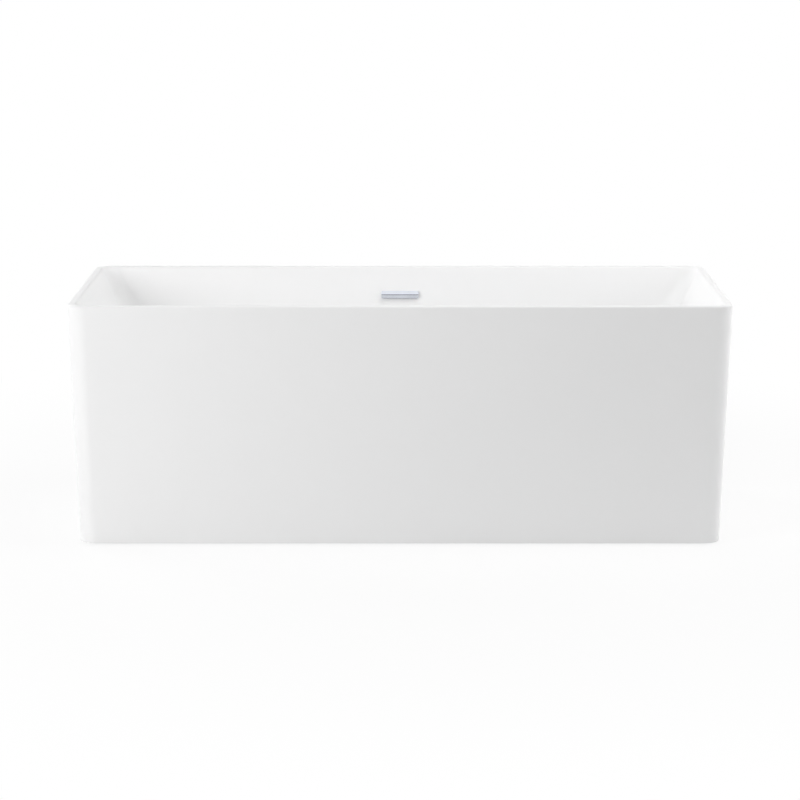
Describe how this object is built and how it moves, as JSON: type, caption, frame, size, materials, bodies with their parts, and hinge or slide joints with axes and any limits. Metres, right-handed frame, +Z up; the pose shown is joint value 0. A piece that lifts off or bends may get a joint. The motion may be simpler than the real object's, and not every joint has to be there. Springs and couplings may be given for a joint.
{
  "type": "freestanding bathtub",
  "caption": "Freestanding rectangular bathtub: tapered seamless skirt, thin flat rim, sloped backrests, chrome slot overflow, push-to-close waste and levelling screw feet.",
  "frame": {"origin": "on the floor, under the middle of the tub", "axes": "+X along the length, +Y towards the wall that has the overflow, +Z up"},
  "size_m": [1.5996, 0.7496, 0.59],
  "materials": {
    "white_acrylic": "smooth satin gloss",
    "chrome": "polished",
    "galvanised_steel": "grey coated tube",
    "zinc_steel": "bright zinc",
    "plywood": "raw plywood",
    "pipe_plastic": "moulded plastic",
    "brass": "turned",
    "seal_rubber": "black rubber",
    "foot_plastic": "black moulded plastic",
    "adhesive": "cured bead"
  },
  "bodies": {
    "tub": {"drain_flange": "chrome", "drain_gasket": "seal_rubber", "drain_locknut": "brass", "drain_tee": "pipe_plastic", "drain_washer": "seal_rubber", "duct_spigot_nut": "pipe_plastic", "duct_spigot_seal": "seal_rubber", "floor_board": "plywood", "foot_jam_nuts": "zinc_steel", "foot_weld_nuts": "zinc_steel", "frame_end_left": "galvanised_steel", "frame_end_right": "galvanised_steel", "frame_middle_left": "galvanised_steel", "frame_middle_right": "galvanised_steel", "frame_rail_front": "galvanised_steel", "frame_rail_rear": "galvanised_steel", "frame_screws": "zinc_steel", "inner_basin": "white_acrylic", "outer_skirt": "white_acrylic", "overflow_bracket": "zinc_steel", "overflow_cover": "chrome", "overflow_duct": "pipe_plastic", "overflow_pipe": "pipe_plastic", "overflow_screws": "zinc_steel", "overflow_seal": "seal_rubber", "plug_sleeve": "brass", "plug_spring": "zinc_steel", "rim_bond": "adhesive", "tail_nut": "pipe_plastic", "tail_seal": "seal_rubber", "tailpiece": "pipe_plastic", "tee_inlet_nut": "pipe_plastic", "tee_inlet_seal": "seal_rubber"},
    "plug": {"plug_cap": "chrome", "plug_seal": "seal_rubber", "plug_plunger": "brass"},
    "foot_front_left": {"foot_pad_front_left": "foot_plastic", "foot_stud_front_left": "zinc_steel"},
    "foot_front_right": {"foot_pad_front_right": "foot_plastic", "foot_stud_front_right": "zinc_steel"},
    "foot_rear_left": {"foot_pad_rear_left": "foot_plastic", "foot_stud_rear_left": "zinc_steel"},
    "foot_rear_right": {"foot_pad_rear_right": "foot_plastic", "foot_stud_rear_right": "zinc_steel"}
  },
  "joints": [
    {"name": "plug_push", "type": "slide", "parent": "tub", "child": "plug", "axis": [0, 0, 1], "range_m": [-0.009, 0], "stiffness_N_per_m": 400, "springref_m": 0.008, "deforming": ["plug_spring"]},
    {"name": "foot_lift_front_left", "type": "slide", "parent": "tub", "child": "foot_front_left", "axis": [0, 0, 1], "range_m": [-0.02, 0.005]},
    {"name": "foot_lift_front_right", "type": "slide", "parent": "tub", "child": "foot_front_right", "axis": [0, 0, 1], "range_m": [-0.02, 0.005]},
    {"name": "foot_lift_rear_left", "type": "slide", "parent": "tub", "child": "foot_rear_left", "axis": [0, 0, 1], "range_m": [-0.02, 0.005]},
    {"name": "foot_lift_rear_right", "type": "slide", "parent": "tub", "child": "foot_rear_right", "axis": [0, 0, 1], "range_m": [-0.02, 0.005]}
  ]
}
